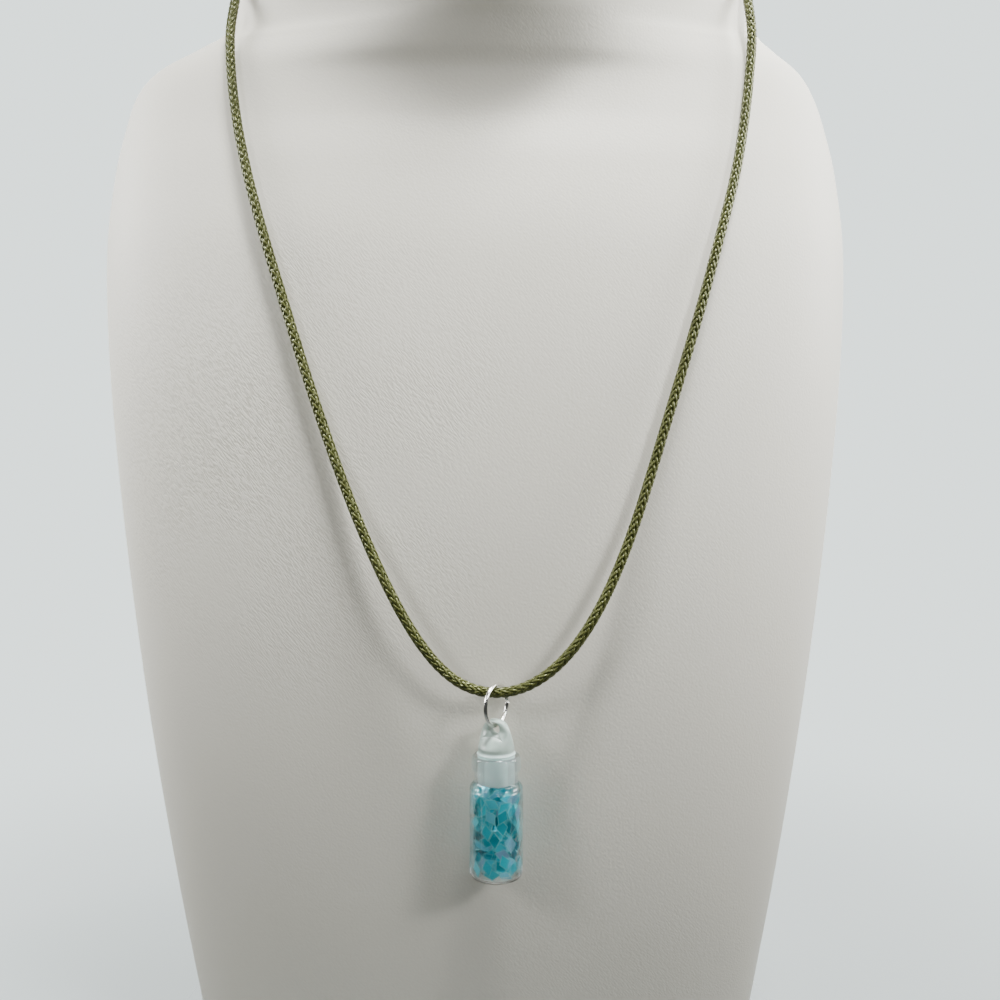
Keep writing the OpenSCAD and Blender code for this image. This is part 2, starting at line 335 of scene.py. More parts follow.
def yarns(name, hand):
    """Eight yarns that wind one way. At arc length s, yarn k stands at the angle
    a = hand * 2 pi s / pitch + 2 pi k / 8, and its distance from the cord's line is
    middle + lift * tanh(1.6 wave) / tanh(1.6), with wave = hand * cos(4 a - pi / 4)."""
    s = np.linspace(0, cord_length, CORD_ROWS)
    first = 2 * np.pi * np.arange(YARNS_EACH_WAY)[:, None] / YARNS_EACH_WAY
    a = hand * 2 * np.pi * s / BRAID_PITCH + first
    lift = np.tanh(STEEP * hand * np.cos(WAVES * a - np.pi / 4)) / np.tanh(STEEP)
    away = np.cos(a)[..., None] * cord_side + np.sin(a)[..., None] * cord_out
    middle = cord_line + (YARN_MIDDLE + YARN_LIFT * lift)[..., None] * away
    along = unit(np.gradient(middle, axis=1))
    across = unit(np.cross(along, away))
    up = np.cross(across, along)
    b = np.radians(np.arange(0, 360, 360 / YARN_SIDES))[:, None]
    wide = YARN_WIDTH / 2 * np.cos(b) * across[:, :, None]
    thick = YARN_THICKNESS / 2 * np.sin(b) * up[:, :, None]
    points = (middle[:, :, None] + (wide + thick)).reshape(-1, 3)
    starts = np.arange(YARNS_EACH_WAY) * CORD_ROWS * YARN_SIDES
    sides = np.concatenate([ring_faces(CORD_ROWS, YARN_SIDES) + start for start in starts])
    ends = np.concatenate([
        starts[:, None] + np.arange(YARN_SIDES)[::-1],
        starts[:, None] + (CORD_ROWS - 1) * YARN_SIDES + np.arange(YARN_SIDES),
    ])
    piece = new_piece(name, points, [sides, ends])
    return add_yarn_map(piece, s)


def add_yarn_map(piece, s):
    """A UV map whose u goes once round a yarn and whose v is the length along it in yarn widths.
    On the last side of a yarn u goes on to 1, so that it doesn't run back to 0 there."""
    corners = len(piece.data.loops)
    number = np.empty(corners, dtype=np.int32)
    piece.data.loops.foreach_get("vertex_index", number)
    u = (number % YARN_SIDES) / YARN_SIDES
    v = s[(number // YARN_SIDES) % len(s)] / YARN_WIDTH
    quads = 4 * YARN_SIDES * (len(s) - 1) * YARNS_EACH_WAY
    u_of_quads = u[:quads].reshape(-1, 4)
    seam = (u_of_quads.max(1) > 0.8) & (u_of_quads.min(1) < 0.1)
    u_of_quads[seam] = np.where(u_of_quads[seam] < 0.1, 1.0, u_of_quads[seam])
    layer = piece.data.uv_layers.new(name="yarn")
    layer.data.foreach_set("uv", np.column_stack([u, v]).astype(np.float32).ravel())
    return piece


yarns_right = yarns("cord_yarns_right", 1)
yarns_left = yarns("cord_yarns_left", -1)

# %% The core under the yarns
CORE_RADIUS = 0.0006
core_line = cord_line[::4]
b = np.radians(np.arange(0, 360, 30))[:, None]
core_rings = core_line[:, None] + CORE_RADIUS * (
    np.cos(b) * cord_side[::4, None] + np.sin(b) * cord_out[::4, None]
)
cord_core = closed_rings("cord_core", core_rings, core_line[:1], core_line[-1:])

# %% [markdown]
# The yarns are olive and waxed. Wax gives them a soft shine, and the fibres show as fine lines
# along each yarn, which a bump over the yarn's own map gives. Here and there the cord is worn a
# little paler. The core only fills the gaps; its near-black olive is painted shade.

# %% Cord finish
waxed = Finish(
    "waxed_olive_yarn", Roughness=0.34, Specular_IOR_Level=0.62, Specular_Tint=(0.9, 0.95, 0.5, 1),
)
yarn_u = waxed.node("SeparateXYZ", {}, {0: waxed.node("UVMap", {"uv_map": "yarn"})})
yarn_v = yarn_u.output("Y")
fibre_place = waxed.node("CombineXYZ", {}, {"X": yarn_u * 26, "Y": yarn_v * 1.2})
fibres = waxed.node(
    "TexNoise", {"noise_dimensions": "2D"}, {"Vector": fibre_place, "Scale": 1.0, "Detail": 2.0},
)
worn = waxed.node("TexNoise", {}, {"Vector": waxed.place(), "Scale": 260.0, "Detail": 3.0})
olive = waxed.mix(fibres, (0.003, 0.004, 0.0001, 1), (0.029, 0.032, 0.0009, 1))
waxed.colour(waxed.mix(worn * 0.24, olive, (0.24, 0.26, 0.09, 1)))
waxed.bump(fibres, 0.00004, 0.6)
# The core's near-black olive is painted shade, for the shade deep in the gaps between the yarns.
shade = Finish("cord_core_painted_shade", Roughness=0.7)
strands = shade.node("TexNoise", {}, {"Vector": shade.place(), "Scale": 2600.0, "Detail": 2.0})
shade.colour(shade.mix(strands, (0.003, 0.004, 0.0002, 1), (0.009, 0.010, 0.0006, 1)))
shade.bump(strands, 0.00003, 0.5)
for piece, finish in ((yarns_right, waxed), (yarns_left, waxed), (cord_core, shade)):
    finish.on(piece)
    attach(piece, "display")
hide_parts("cord")

# %% [markdown]
# ## The bust
# A display bust is a padded form with leatherette drawn over it: no hard edges, and a fine grain
# that the stretch has drawn out into slanting lines. It could be sculpted, but its outline is
# simple at every height, so one table of heights, widths and depths and a smooth curve through
# them give the whole skin. The rows are shares of the bust's sizes, as in the CAD model.

# %% The bust's table
# Columns: height, width, depth in front, depth behind, squareness of the outline, how far its
# middle stands to the right, and how far the middle of the throat comes forward of that outline.
BUST = dict(height=0.255, width=0.155, chest=0.0402, back=0.038)
BUST_ROWS = np.array([
    [0.000, 0.770, 0.810, 0.855, 2.30, 0.000, 0.000],
    [0.140, 0.845, 0.920, 0.934, 2.35, 0.000, 0.000],
    [0.280, 0.909, 0.980, 0.974, 2.40, 0.000, 0.000],
    [0.420, 0.960, 1.000, 1.000, 2.40, 0.000, 0.000],
    [0.550, 0.993, 0.965, 1.000, 2.40, 0.000, 0.000],
    [0.650, 1.000, 0.890, 0.987, 2.35, 0.000, 0.000],
    [0.715, 0.978, 0.790, 0.961, 2.30, 0.000, 0.000],
    [0.757, 0.947, 0.697, 0.934, 2.25, 0.000, 0.000],
    [0.785, 0.915, 0.637, 0.908, 2.20, 0.000, 0.040],
    [0.804, 0.868, 0.617, 0.882, 2.10, 0.004, 0.100],
    [0.820, 0.785, 0.612, 0.855, 2.05, 0.013, 0.145],
    [0.835, 0.720, 0.617, 0.829, 2.00, 0.021, 0.185],
    [0.867, 0.679, 0.637, 0.803, 2.00, 0.023, 0.235],
    [0.933, 0.635, 0.697, 0.789, 2.00, 0.023, 0.270],
    [1.000, 0.617, 0.759, 0.789, 2.00, 0.023, 0.260],
])


def through(rows, steps):
    """Catmull-Rom curve through each row of a table. Between rows b and c, with a and d beyond
    them, it is (2b + (c-a)t + (2a-5b+4c-d)t^2 + (3b-a-3c+d)t^3) / 2."""
    more = np.vstack([2 * rows[0] - rows[1], rows, 2 * rows[-1] - rows[-2]])
    t = np.linspace(0, 1, steps, endpoint=False)[None, :, None]
    a, b, c, d = (more[k:len(more) - 3 + k, None] for k in range(4))
    curve = 2 * b + (c - a) * t + (2 * a - 5 * b + 4 * c - d) * t ** 2 + (3 * b - a - 3 * c + d) * t ** 3
    return np.vstack([(curve / 2).reshape(-1, rows.shape[1]), rows[-1]])


# %% The bust's skin
THROAT_POWER = 8


def bust_outline(row, angles, inset):
    """One level ring: a flattened circle, x = w cos(a)^(2/p) and y = d sin(a)^(2/p), where d is
    the chest's depth in front and the back's behind, each less the inset. In front the throat
    adds its share times (-sin a)^8 to the depth."""
    height, width, chest, back, square, shift, throat = (row[:, k, None] for k in range(7))
    c, s = np.cos(angles)[None], np.sin(angles)[None]
    power = 2 / square
    half = width * BUST["width"] / 2 - inset
    chest = chest + throat * np.clip(-s, 0, 1) ** THROAT_POWER
    deep = np.where(s < 0, chest * BUST["chest"], back * BUST["back"]) - inset
    x = shift * BUST["width"] + half * np.sign(c) * np.abs(c) ** power
    y = deep * np.sign(s) * np.abs(s) ** power
    return np.stack([x, y, height * BUST["height"] + 0 * x], axis=-1)


def turned_edge(z, edge, radius):
    """How far the skin draws in near an edge at height `edge`: radius - sqrt(radius^2 - u^2),
    where u is how far a point has entered the rounded zone."""
    u = np.clip(radius - np.abs(z - edge), 0, radius)
    return radius - np.sqrt(radius ** 2 - u ** 2)


def cap_rings(ring, shares):
    """Copies of a ring drawn in towards its middle, to cover the top or the foot."""
    middle = ring.mean(axis=0)
    return middle + shares[:, None, None] * (ring - middle)


NECK_EDGE, FOOT_EDGE = 0.004, 0.0015
level = through(BUST_ROWS, 12)
heights = np.unique(np.concatenate([
    level[:, 0] * BUST["height"],
    FOOT_EDGE * (1 - np.cos(np.linspace(0, np.pi / 2, 8))),
    BUST["height"] - NECK_EDGE * (1 - np.cos(np.linspace(0, np.pi / 2, 12))),
]))
known = level[:, 0] * BUST["height"]
dense = np.column_stack([np.interp(heights, known, column) for column in level.T])
inset = (turned_edge(heights, 0, FOOT_EDGE) + turned_edge(heights, BUST["height"], NECK_EDGE))[:, None]
bust_angles = np.linspace(0, 2 * np.pi, 288, endpoint=False)
skin = bust_outline(dense, bust_angles, inset)
cover = np.linspace(0.97, 0.06, 16)
foot, crown = cap_rings(skin[0], cover[::-1]), cap_rings(skin[-1], cover)
skin = np.concatenate([foot, skin, crown])
bust_skin = closed_rings("bust_skin", skin, foot[0].mean(0), crown[-1].mean(0))

# %% [markdown]
# The leatherette is a warm white, duller than paper. Its grain is two things at once: a fine
# pebble all over, and drawn-out lines that slant down to the right, about half a millimetre
# apart. They are strong where the skin was stretched most, on the left of the chest, and faint
# elsewhere. Noise squeezed along one direction makes the lines. A slow noise fades them in and
# out, and so does the distance from the stretched place.

# %% Leatherette
leather = Finish("bust_leatherette", Roughness=0.55, Specular_IOR_Level=0.4)
slant = leather.place(turn=(0, -50, 0), scale=(900, 1600, 3900))
lines = leather.node("TexNoise", {}, {"Vector": slant, "Scale": 1.0, "Detail": 0.6, "Distortion": 0.3})
ribs = leather.node("MapRange", {}, {"Value": lines, "From Min": 0.36, "From Max": 0.6})
pebble = leather.node("TexNoise", {}, {"Vector": leather.place(), "Scale": 2200.0, "Detail": 0.0})
patches = leather.node("TexNoise", {}, {"Vector": leather.place(), "Scale": 22.0, "Detail": 2.0})
patchy = leather.node("MapRange", {}, {
    "Value": patches, "From Min": 0.40, "From Max": 0.62, "To Min": 0.25, "To Max": 1.0,
})
STRETCHED_AT = (-0.035, -0.03, 0.128)
away = leather.node("VectorMath", {"operation": "DISTANCE"}, {0: leather.place(), 1: STRETCHED_AT}, "Value")
stretched = leather.node("MapRange", {}, {
    "Value": away, "From Min": 0.012, "From Max": 0.05, "To Min": 1.0, "To Max": 0.12,
})
drawn = patchy * stretched
grain = ribs * drawn * 0.8 + pebble * 0.25
tone = leather.node("TexNoise", {}, {"Vector": leather.place(), "Scale": 9.0, "Detail": 3.0})
cream = leather.mix(tone, (0.65, 0.63, 0.54, 1), (0.71, 0.69, 0.61, 1))
leather.colour(leather.mix(drawn * (1 - ribs) * 0.6, cream, (0.44, 0.42, 0.34, 1)))
leather.feed(leather.shader.inputs["Roughness"], 0.48 + 0.16 * pebble)
leather.bump(grain, 0.00012, 0.7)
leather.on(bust_skin)
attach(bust_skin, "display")
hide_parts("neck_bust")

# %% [markdown]
# ## Turned pieces
# The bottle, the clasp and the stopper's plug are all shapes turned about an axis: a profile of
# distances and heights, carried round a circle. A profile drawn with straight lines has corners
# that glass never has, so it is first spaced evenly and each point is then replaced by the mean
# of its neighbours, which rounds every corner by the same small radius.

# %% Profiles
def eased(profile, spacing, reach=3, rounds=2):
    """A profile with even spacing whose corners are rounded by averaging neighbours."""
    length = evenly(profile, 2)[1]
    line = evenly(profile, int(length / spacing))[0]
    weights = np.ones(2 * reach + 1) / (2 * reach + 1)
    for _ in range(rounds):
        padded = np.vstack([np.repeat(line[:1], reach, 0), line, np.repeat(line[-1:], reach, 0)])
        line = np.column_stack([np.convolve(axis, weights, "valid") for axis in padded.T])
    return line


def turned(profile, columns):
    """Rings of a turned shape: each profile point (r, z) becomes (r cos a, r sin a, z)."""
    a = np.linspace(0, 2 * np.pi, columns, endpoint=False)
    r, z = profile[:, 0, None], profile[:, 1, None]
    return np.stack([r * np.cos(a), r * np.sin(a), z + 0 * a], axis=-1)


# %% [markdown]
# ## The clasp
# Behind the neck a small barrel holds both ends of the cord. It is a turned brass barrel with
# silver plating: a waist of fine grooves to grip, and a collar at each end where the cord goes in.

# %% Barrel clasp
# Each point is a distance from the axis and a place along it.
CLASP_LENGTH = 0.013
half = np.array([
    [0.00104, 0.0], [0.0015, 0.0], [0.0016, 0.0001], [0.0016, 0.0016], [0.0015, 0.0018],
    [0.0017, 0.0021], [0.00196, 0.0023], [0.00196, 0.0034],
])
groove_z = np.arange(0.0036, 0.0062, 0.0004)
grooves = np.column_stack([
    np.tile([0.00198, 0.00182], len(groove_z)),
    np.repeat(groove_z, 2) + np.tile([0, 0.0002], len(groove_z)),
])
side = np.vstack([half, grooves, [[0.00198, CLASP_LENGTH / 2]]])
other = np.column_stack([side[::-1, 0], CLASP_LENGTH - side[::-1, 1]])
clasp_profile = eased(np.vstack([side, other]), 0.00005, 1, 1)
barrel = turned(clasp_profile, 48)
barrel = ROUTE[0] + np.stack([barrel[..., 2], barrel[..., 1], -barrel[..., 0]], axis=-1)
clasp = closed_rings("barrel_clasp", barrel, ROUTE[:1], ROUTE[-1:])

# %% [markdown]
# ## The jump ring
# A jump ring is round wire wound into a circle and cut once. The two cut ends never meet quite
# square, so the wire here climbs a little on its way round. A torus primitive has no cut, so the
# wire is carried along its own circle.

# %% Jump ring
RING_D, RING_WIRE, RING_TURN, RING_CUT = 0.0084, 0.0008, 59, 3
RING_GAP, RING_CLIMB, WIRE_ROWS = 0.0001, 0.00006, 160
HANG = np.array([0.0045, -0.045, 0.0835])
ring_r = (RING_D - RING_WIRE) / 2
ring_middle = HANG + [0, 0, CORD_D / 2 + RING_GAP + RING_WIRE / 2 - ring_r]
turn = math.radians(RING_TURN - 90)
flat = np.array([-math.sin(turn), math.cos(turn), 0])
face = np.array([math.cos(turn), math.sin(turn), 0])
upright = np.array([0, 0, 1])


def bent_wire(name):
    """Wire along the angle t: the middle + R (cos t flat + sin t upright) + a small climb along
    the ring's own axis, with a circle of the wire's radius about it and eased ends."""
    t = np.radians(np.linspace(RING_CUT / 2, 360 - RING_CUT / 2, WIRE_ROWS))[:, None]
    out = np.cos(t) * flat + np.sin(t) * upright
    climb = RING_CLIMB * (t / np.pi - 1) * face
    line = ring_middle + ring_r * out + climb
    near_end = np.minimum(np.arange(WIRE_ROWS), np.arange(WIRE_ROWS)[::-1])
    wire = RING_WIRE / 2 * np.where(near_end < 2, 0.86 + 0.07 * near_end, 1.0)[:, None, None]
    b = np.linspace(0, 2 * np.pi, 24, endpoint=False)[None, :, None]
    rings = line[:, None] + wire * (np.cos(b) * out[:, None] + np.sin(b) * face)
    return closed_rings(name, rings, line[:1], line[-1:])


jump_ring = bent_wire("split_jump_ring")

# %% [markdown]
# Clasp and ring are plated and polished. Handling leaves very fine scratches on such plating, so the
# roughness wanders a little and a faint bump breaks up the reflections.

# %% Polished plating
plated = Finish("silver_plating", Metallic=1.0, Base_Color=(0.87, 0.85, 0.80, 1))
long_scratches = plated.place(scale=(3000, 3000, 700))
scratch = plated.node("TexNoise", {}, {"Vector": long_scratches, "Scale": 1.0, "Detail": 1.0})
plated.feed(plated.shader.inputs["Roughness"], 0.16 + 0.14 * scratch)
plated.bump(scratch, 0.000004, 0.4)
for piece, body, node, slot in (
    (clasp, "display", "clasp", "clasp_metal"), (jump_ring, "ring", "jump_ring", "ring_metal"),
):
    plated.on(piece)
    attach(piece, body)
    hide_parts(node)

# %% [markdown]
# ## The stopper
# The stopper is one moulding of milky soft plastic: a hollow plug in the neck, a thin flange on
# the lip, a round body, and a flat eye on top. Its sections change from circles to a flat slab, so
# the whole skin is a pile of rounded sections, from the roof of the hollow, down inside, round
# the rim, up outside and over the eye to the top. The hole is cut out afterwards with a Boolean
# and a tool whose ends flare, which leaves a rounded rim as a mould does.

# %% Sections of the stopper
# The ring's curve rises by ring_sag within the eye's thickness, and the hole's top clears it.
STOPPER_H, STOPPER_R, EYE_HALF, HOLE_R = 0.0067, 0.00335, 0.001, 0.0011
HOLE_GAP, OVER_HOLE = 0.00006, 0.00065
ring_sag = ring_r - math.sqrt(ring_r ** 2 - EYE_HALF ** 2)
HOLE_TOP = ring_middle[2] - ring_r + RING_WIRE / 2 + ring_sag + HOLE_GAP
LIP_Z = HOLE_TOP + OVER_HOLE - STOPPER_H
plug = eased(np.vstack([
    [[0.0003, -0.0009], [0.0023, -0.0009]],
    arc((0.0023, -0.00115), (0.00025, 0.00025), 90, 0, 5),
    arc((0.003, -0.00515), (0.00045, 0.00045), 180, 360, 14),
    [[0.00345, -0.0001], [0.00345, 0.0], [0.00352, 0.00001]],
    arc((0.00342, 0.0002), (0.00023, 0.00019), -80, 80, 10),
    [[0.00336, 0.0006], [0.00336, 0.0014]],
]), 0.00009, 2, 1)

# %% The round body that flattens into the eye
# Seen from the front, the width follows a rounded dome, (1 - rise^n)^(1/n). Seen from the side,
# the round body passes smoothly into a slab as thick as the eye.
BODY_Z, TAPER_Z, DOME_Z, DOME_R = 0.0014, 0.0034, 0.0028, 0.0031
SLAB_Z, SLAB_RISE, DOME_POWER, SLAB_POWER = 0.0012, 0.0036, 2.2, 14
dome_z = BODY_Z + (STOPPER_H - BODY_Z) * np.sin(np.radians(np.linspace(4, 88, 46)))
rise = np.clip((dome_z - DOME_Z) / (STOPPER_H - DOME_Z), 0, 1)
dome_half = np.interp(dome_z, [BODY_Z, TAPER_Z], [STOPPER_R, DOME_R])
dome_half = dome_half * (1 - rise ** DOME_POWER) ** (1 / DOME_POWER)
share = np.clip((dome_z - SLAB_Z) / SLAB_RISE, 0, 1)
share = share * share * (3 - 2 * share)
slab = (EYE_HALF * share + dome_half * (1 - share)) * np.sqrt(1 - rise ** SLAB_POWER)
wide = np.concatenate([plug[:, 0], dome_half])
deep = np.concatenate([plug[:, 0], slab])
high = np.concatenate([plug[:, 1], dome_z])
square = np.concatenate([np.full(len(plug), 2.0), 2 + 0.7 * share])

# %% The stopper's skin
def pile(wide, deep, high, square, columns=112):
    """Sections piled up: at height h a point is (deep |cos a|^(2/n), wide |sin a|^(2/n)), with
    the wide side along the eye's flat."""
    a = np.linspace(0, 2 * np.pi, columns, endpoint=False)[None]
    power = 2 / square[:, None]
    across = deep[:, None] * np.sign(np.cos(a)) * np.abs(np.cos(a)) ** power
    along = wide[:, None] * np.sign(np.sin(a)) * np.abs(np.sin(a)) ** power
    place = across[..., None] * flat + along[..., None] * face + high[:, None, None] * upright
    return place + [HANG[0], HANG[1], LIP_Z]


body_rings = pile(wide, deep, high, square)
stopper = closed_rings("stopper_moulding", body_rings, body_rings[0].mean(0), body_rings[-1].mean(0))

# %% The eye's hole
# Within 0.6 mm of the eye's middle the tool is straight, and beyond it flares like a parabola.
STRAIGHT, FLARE = 0.0006, 0.0005
reach = np.linspace(-0.0016, 0.0016, 41)
flare = HOLE_R + FLARE * np.clip((np.abs(reach) - STRAIGHT) / FLARE, 0, None) ** 2
a = np.linspace(0, 2 * np.pi, 64, endpoint=False)[None, :, None]
eye_middle = np.array([HANG[0], HANG[1], HOLE_TOP - HOLE_R])
circle = np.cos(a) * face + np.sin(a) * upright
drill_rings = eye_middle + reach[:, None, None] * flat + flare[:, None, None] * circle
drill = closed_rings("eye_drill", drill_rings, drill_rings[0].mean(0), drill_rings[-1].mean(0))
cut = stopper.modifiers.new("hole", "BOOLEAN")
cut.operation, cut.solver, cut.object = "DIFFERENCE", "EXACT", drill
bpy.context.view_layer.update()
holed = bpy.data.meshes.new_from_object(stopper.evaluated_get(bpy.context.evaluated_depsgraph_get()))
stopper.modifiers.clear()
stopper.data = holed
bpy.data.objects.remove(drill)
print("stopper with its hole:", len(holed.polygons), "faces")

# %% [markdown]
# Milky plastic isn't painted white: light goes in, scatters and comes out a few millimetres away.
# Subsurface scattering does that, with a little rough transmission. Below the lip the plug's
# colour is painted light: far brighter than the body, and turquoise for the flakes' glow below.

# %% Milky plastic
milky = Finish(
    "milky_plastic", Roughness=0.32, IOR=1.5, Transmission_Weight=0.12,
    Subsurface_Weight=1.0, Subsurface_Radius=(1.0, 1.0, 1.0), Subsurface_Scale=0.0015,
)
haze = milky.node("TexNoise", {}, {"Vector": milky.place(), "Scale": 700.0, "Detail": 2.0})
height = milky.node("SeparateXYZ", {}, {0: milky.place()}, "Z")
over_lip = milky.node("MapRange", {}, {
    "Value": height, "From Min": LIP_Z - 0.0003, "From Max": LIP_Z + 0.001,
})
# Below the lip the colour is painted light: a far brighter turquoise than the body, for the flakes' glow.
plug_painted_light = milky.mix(haze, (0.64, 0.87, 0.83, 1), (0.72, 0.91, 0.87, 1))
body_tone = milky.mix(haze, (0.29, 0.38, 0.345, 1), (0.35, 0.41, 0.365, 1))
milky.colour(milky.mix(over_lip, plug_painted_light, body_tone))
milky.bump(haze, 0.00005, 0.3)
milky.on(stopper)
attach(stopper, "stopper")
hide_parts("stopper")

# %% [markdown]
# ## The bottle
# The vial is drawn from glass tube: a thin wall, a thick rounded heel, a floor that is pushed up a
# little, a shoulder, a waist and a rolled lip. It is one turned shape, outside and inside in one
# profile, so that light bends twice as it does in real glass. A single surface with transparency
# would lose the bright rims and the dark line at the heel. But on so small a vial bent images of
# the surround hide the fill, so the wall is drawn thin, and four tenths see-through as well.

# %% The bottle's profile
BOTTLE_H, BOTTLE_R, GLASS, BORE_R = 0.0235, 0.005, 0.00035, 0.0035
BOTTLE_Z = LIP_Z - 0.00005 - BOTTLE_H
inner_r = BOTTLE_R - GLASS
HEEL_R, HEEL_Z, WALL_TOP, BORE_Z = 0.0009, 0.0014, 0.01675, 0.01805
outside = np.vstack([
    [[0.0002, 0.00035], [0.0018, 0.00028], [0.003, 0.00004]],
    arc((0.0036, 0.0014), (0.0014, 0.0014), -90, 0, 16),
    arc((0.0037, 0.0171), (0.0013, 0.0013), 0, 55, 10),
    [[0.0041, 0.0185], [0.0041, 0.0199]],
    arc((0.00405, 0.0213), (0.00055, 0.0010), -80, 0, 10),
    arc((0.00405, 0.0225), (0.00055, 0.0010), 0, 180, 24),
])
inside = np.vstack([
    [[BORE_R, 0.0222], [BORE_R, BORE_Z], [inner_r, WALL_TOP]],
    arc((inner_r - HEEL_R, HEEL_Z), (HEEL_R, HEEL_R), 0, -90, 12),
    [[0.0018, HEEL_Z - HEEL_R], [0.0002, HEEL_Z - HEEL_R + 0.0001]],
])
bottle_profile = eased(np.vstack([outside, inside]), 0.00011, 2, 2)
vial = turned(bottle_profile, 144) + [HANG[0], HANG[1], BOTTLE_Z]
bottle = closed_rings("glass_vial", vial, vial[0].mean(0), vial[-1].mean(0))

# %% [markdown]
# Drawn tube is never quite even, so a slow ripple bends its reflections. The heel is thick, and
# from there up the share of glass falls from all to six tenths.

# %% Clear glass
glass = Finish(
    "clear_glass", Base_Color=(0.98, 0.995, 0.99, 1), Roughness=0.0, IOR=1.47, Transmission_Weight=1.0,
)
tube = glass.place(scale=(1, 1, 0.4))
ripple = glass.node("TexNoise", {}, {"Vector": tube, "Scale": 420.0, "Detail": 1.0})
glass.bump(ripple, 0.00004, 0.25)
glass_z = glass.node("SeparateXYZ", {}, {0: glass.place()}, "Z")
glass.feed(glass.shader.inputs["Alpha"], glass.node("MapRange", {}, {
    "Value": glass_z, "From Min": BOTTLE_Z + 0.0007, "From Max": BOTTLE_Z + 0.0016,
    "To Min": 1.0, "To Max": 0.6,
}))
glass.on(bottle)
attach(bottle, "bottle")
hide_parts("bottle")

# %% [markdown]
# ## The glitter
# The fill is a few hundred rhombic foil flakes, 3.3 by 2.2 mm from corner to corner. Many lie
# nearly flat to the glass or on each other, some stand on edge, and dark gaps open between them.
# A physics simulation could drop them in, but thin plates make it slow and shaky. Instead flakes
# are thrown one after another to random places, or beside a flake that lies already, and kept
# only if they fit: inside the glass and clear of every flake already there. Two flat prisms are
# apart if, along one of ten directions (both normals, the normals of their edges, and the
# products of their edges), their shadows don't meet.

# %% Room for a flake
FLAKE_L, FLAKE_W, FLAKE_T, FLAKE_CLEAR = 0.0033, 0.0022, 0.00005, 0.00003
FILL_LOW, FILL_HIGH, WALL_CLEAR = 0.00062, 0.0178, 0.00004


def room(z):
    """The inner radius of the bottle at a height above its foot."""
    fillet = HEEL_R ** 2 - np.clip(HEEL_Z - z, 0, HEEL_R) ** 2
    foot = inner_r - HEEL_R + np.sqrt(np.clip(fillet, 0, None))
    shoulder = np.interp(z, [WALL_TOP, BORE_Z], [inner_r, BORE_R])
    return np.minimum(foot, shoulder)


def edges_of(frames):
    """The two edges of each flake: its half diagonals added, and one less the other."""
    long, short = frames[..., 0, :] * FLAKE_L / 2, frames[..., 1, :] * FLAKE_W / 2
    return np.stack([long + short, long - short], axis=-2)


def apart(centre, one, centres, frames):
    """For one flake against all others: true where some direction separates the two."""
    edges, others = unit(edges_of(one)), unit(edges_of(frames))
    count = len(centres)
    own = np.vstack([one[2:3], np.cross(edges, one[2])])
    theirs = np.concatenate([frames[:, 2:3], np.cross(others, frames[:, 2:3])], axis=1)
    crossed = np.cross(edges[None, :, None], others[:, None]).reshape(count, 4, 3)
    lines = np.concatenate([np.broadcast_to(own, (count, 3, 3)), theirs, crossed], axis=1)
    size = np.linalg.norm(lines, axis=-1, keepdims=True)
    lines = np.where(size > 1e-6, lines / np.maximum(size, 1e-9), 0)
    gap = np.abs(np.einsum("nkd,nd->nk", lines, centres - centre))
    for shape in (np.broadcast_to(one, frames.shape), frames):
        shadow = np.abs(np.einsum("nkd,nad->nka", lines, shape))
        corner = np.maximum(shadow[..., 0] * (FLAKE_L / 2), shadow[..., 1] * (FLAKE_W / 2))
        gap = gap - corner - shadow[..., 2] * FLAKE_T / 2
    return (gap > FLAKE_CLEAR).any(axis=1)


# %% Throw the flakes
def thrown(rng, outer):
    """A random flake: its middle and its three directions. Outer flakes lie mostly flat to the
    glass, and inner ones at any angle. Lower places come up more often than high ones."""
    a, z = rng.uniform(0, 2 * np.pi), FILL_LOW + (FILL_HIGH - FILL_LOW) * rng.uniform() ** 1.4
    r = rng.uniform(0.0032, 0.0046) if outer else 0.0040 * math.sqrt(rng.uniform())
    radial, tangent = np.array([np.cos(a), np.sin(a), 0]), np.array([-np.sin(a), np.cos(a), 0])
    lean = abs(rng.normal(0, 0.42)) if outer and rng.uniform() < 0.7 else rng.uniform(0, 1.5)
    about = rng.uniform(0, 2 * np.pi)
    aside = np.cos(about) * tangent + np.sin(about) * upright
    normal = np.cos(lean) * radial + np.sin(lean) * aside
    spin = rng.uniform(0, 2 * np.pi)
    level = unit(np.cross(normal, [0.1, 0.2, 1.0]))
    long = np.cos(spin) * level + np.sin(spin) * np.cross(normal, level)
    centre = np.array([r * np.cos(a), r * np.sin(a), z])
    return centre, np.array([long, np.cross(normal, long), normal])


def beside(rng, centre, one):
    """A flake that nearly lies on another one: shifted along it, lifted off it by its own
    thickness or a little more, and turned by a few degrees."""
    shift = rng.uniform(-1, 1, 2) * [FLAKE_L / 2, FLAKE_W / 2]
    rise = rng.choice([-1, 1]) * rng.uniform(0.0001, 0.0006)
    normal = unit(one[2] + rng.normal(0, 0.2, 3))
    long = unit(one[0] + rng.normal(0, 0.3) * one[1])
    long = unit(long - (long @ normal) * normal)
    centre = centre + shift[0] * one[0] + shift[1] * one[1] + rise * one[2]
    return centre, np.array([long, np.cross(normal, long), normal])


def fits(centre, one):
    """True if all four corners lie inside the glass."""
    long, short = one[0] * FLAKE_L, one[1] * FLAKE_W
    corners = centre + np.array([long, -long, short, -short]) / 2
    inside = np.hypot(corners[:, 0], corners[:, 1]) < room(corners[:, 2]) - WALL_CLEAR
    return inside.all() and corners[:, 2].min() > FILL_LOW and corners[:, 2].max() < FILL_HIGH


